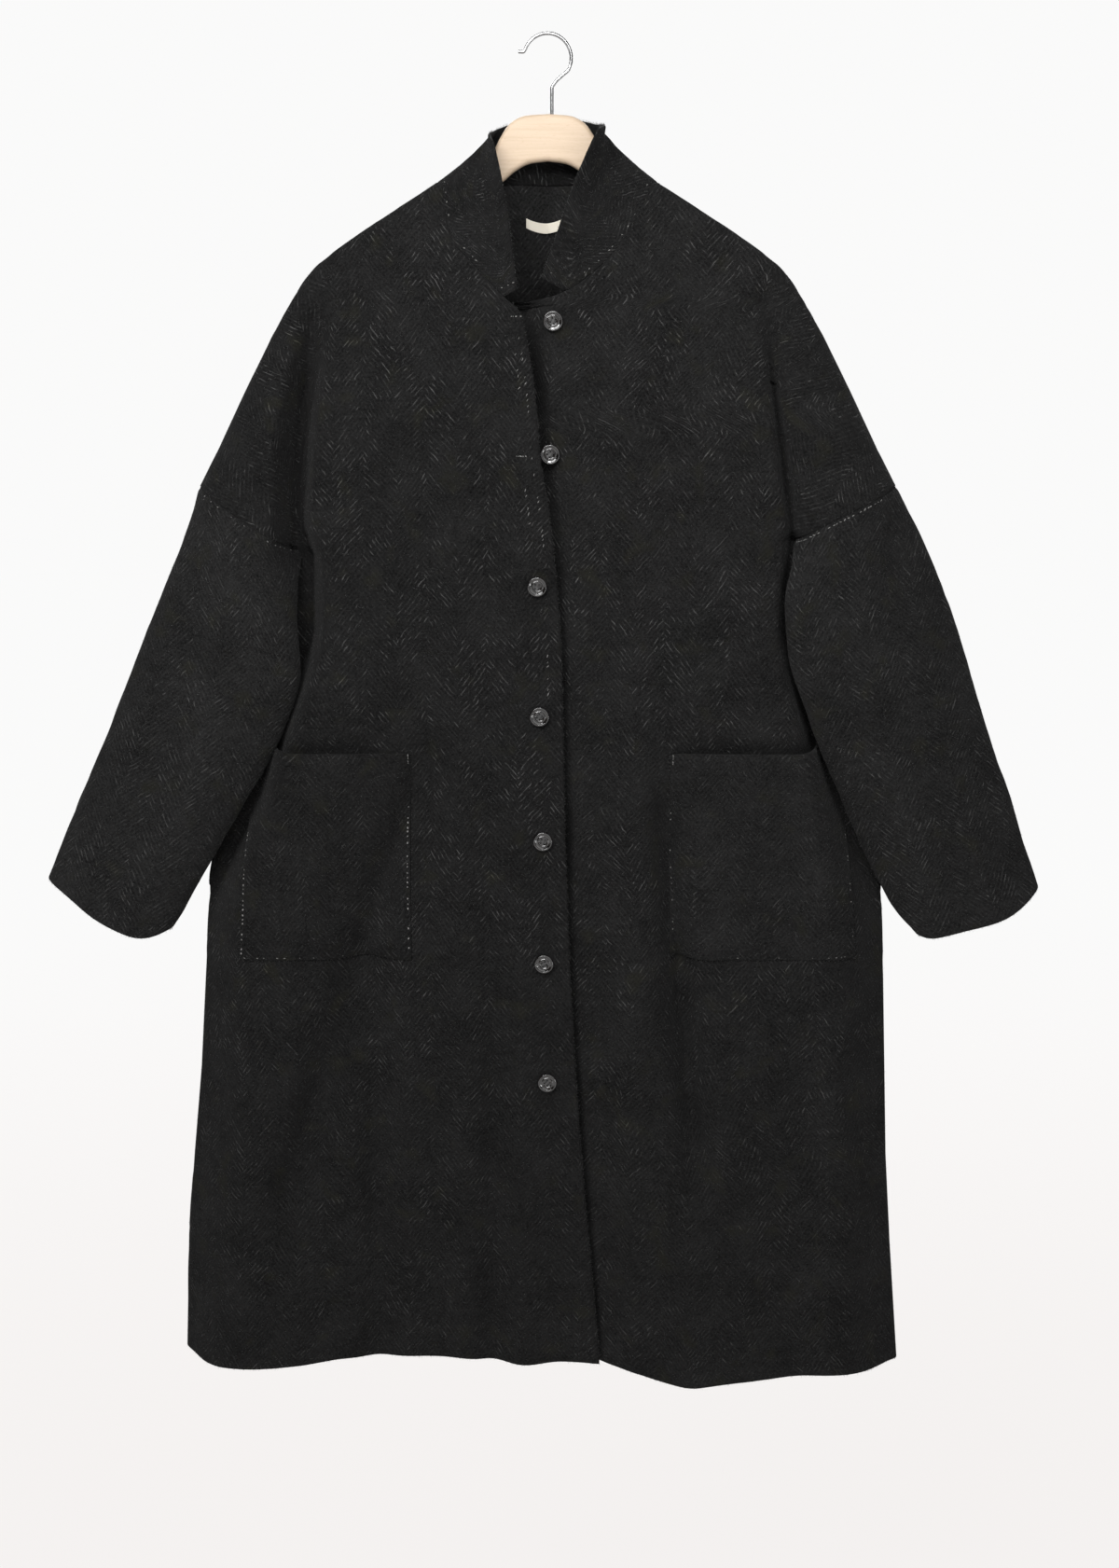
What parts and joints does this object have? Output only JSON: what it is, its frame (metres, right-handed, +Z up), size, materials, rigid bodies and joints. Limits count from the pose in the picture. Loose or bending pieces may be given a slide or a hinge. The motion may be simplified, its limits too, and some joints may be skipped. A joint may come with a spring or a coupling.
{
  "type": "long wool coat on a wooden hanger",
  "caption": "Long wool coat with a funnel collar, drop shoulders, wide sleeves and patch pockets, hanging flat on a plain wooden hanger with a wire hook.",
  "frame": {"origin": "inner top of the hook's crook, where the hanger rests on a rail or peg", "axes": "+X to the viewer's right (the wearer's left), +Y away from the viewer to the coat's back, +Z up"},
  "size_m": [0.9734, 0.116, 1.3065],
  "materials": {
    "wool_front_right": "thick fulled herringbone wool, charcoal black, soft nap",
    "wool_front_left": "thick fulled herringbone wool, charcoal black, soft nap",
    "wool_back": "thick fulled herringbone wool, charcoal black, soft nap",
    "wool_sleeve_right": "thick fulled herringbone wool, charcoal black, soft nap",
    "wool_sleeve_left": "thick fulled herringbone wool, charcoal black, soft nap",
    "wool_collar": "thick fulled herringbone wool, charcoal black, soft nap",
    "wool_pocket_right": "thick fulled herringbone wool, charcoal black, soft nap",
    "wool_pocket_left": "thick fulled herringbone wool, charcoal black, soft nap",
    "button_horn": "smoky dark grey, polished",
    "label_tape": "cream woven tape, bare",
    "beech": "pale beech, clear satin varnish",
    "steel_wire": "bright drawn steel wire"
  },
  "bodies": {
    "root": {"front_right": "wool_front_right", "front_left": "wool_front_left", "back": "wool_back", "sleeve_right": "wool_sleeve_right", "sleeve_left": "wool_sleeve_left", "collar": "wool_collar", "pocket_right": "wool_pocket_right", "pocket_left": "wool_pocket_left", "button_1": "button_horn", "button_2": "button_horn", "button_3": "button_horn", "button_4": "button_horn", "button_5": "button_horn", "button_6": "button_horn", "button_7": "button_horn", "label": "label_tape", "hanger_bar": "beech", "hanger_hook": "steel_wire"}
  },
  "joints": []
}
